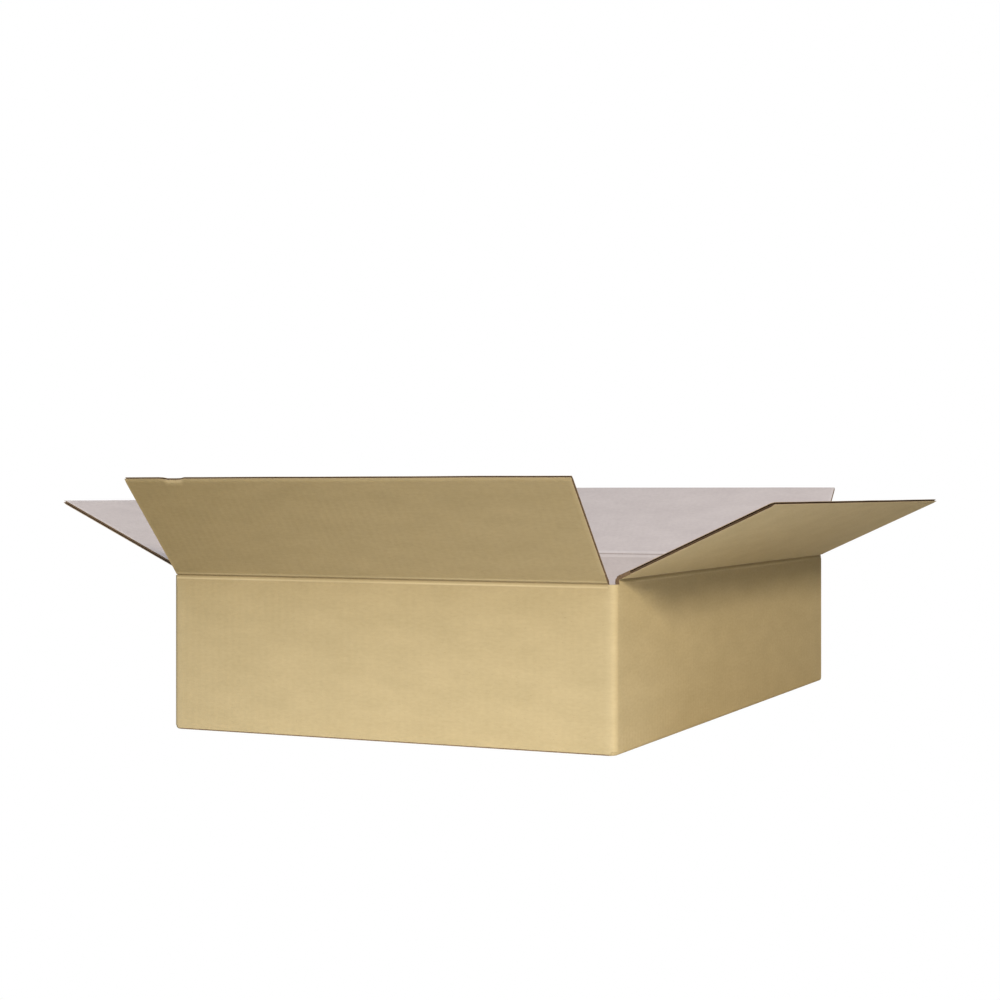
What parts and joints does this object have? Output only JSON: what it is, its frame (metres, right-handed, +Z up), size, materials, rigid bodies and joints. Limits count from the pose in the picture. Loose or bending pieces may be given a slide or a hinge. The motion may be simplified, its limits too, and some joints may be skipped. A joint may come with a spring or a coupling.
{
  "type": "open cardboard box",
  "caption": "Open-topped corrugated cardboard carton with its top flaps folded outwards on their creases.",
  "frame": {"origin": "middle of the underside, on the surface the box stands on", "axes": "+Z up; X across the short front wall, which is at -Y; Y along the long side walls"},
  "size_m": [0.6448, 0.7768, 0.2127],
  "materials": {
    "board": "matt"
  },
  "bodies": {
    "carton": {"carton_body": "board"},
    "front_flap": {"front_flap": "board"},
    "back_flap": {"back_flap": "board"},
    "left_flap": {"left_flap": "board"},
    "right_flap": {"right_flap": "board"}
  },
  "joints": [
    {"name": "front_crease", "type": "hinge", "parent": "carton", "child": "front_flap", "pos_m": [0, -0.31008, 0.1302], "axis": [-1, 0, 0], "range_deg": [-120, 133]},
    {"name": "back_crease", "type": "hinge", "parent": "carton", "child": "back_flap", "pos_m": [0, 0.31008, 0.1302], "axis": [1, 0, 0], "range_deg": [-115, 138]},
    {"name": "left_crease", "type": "hinge", "parent": "carton", "child": "left_flap", "pos_m": [-0.20008, 0, 0.1336], "axis": [0, 1, 0], "range_deg": [-90, 155]},
    {"name": "right_crease", "type": "hinge", "parent": "carton", "child": "right_flap", "pos_m": [0.20008, 0, 0.1336], "axis": [0, -1, 0], "range_deg": [-90, 155]}
  ]
}
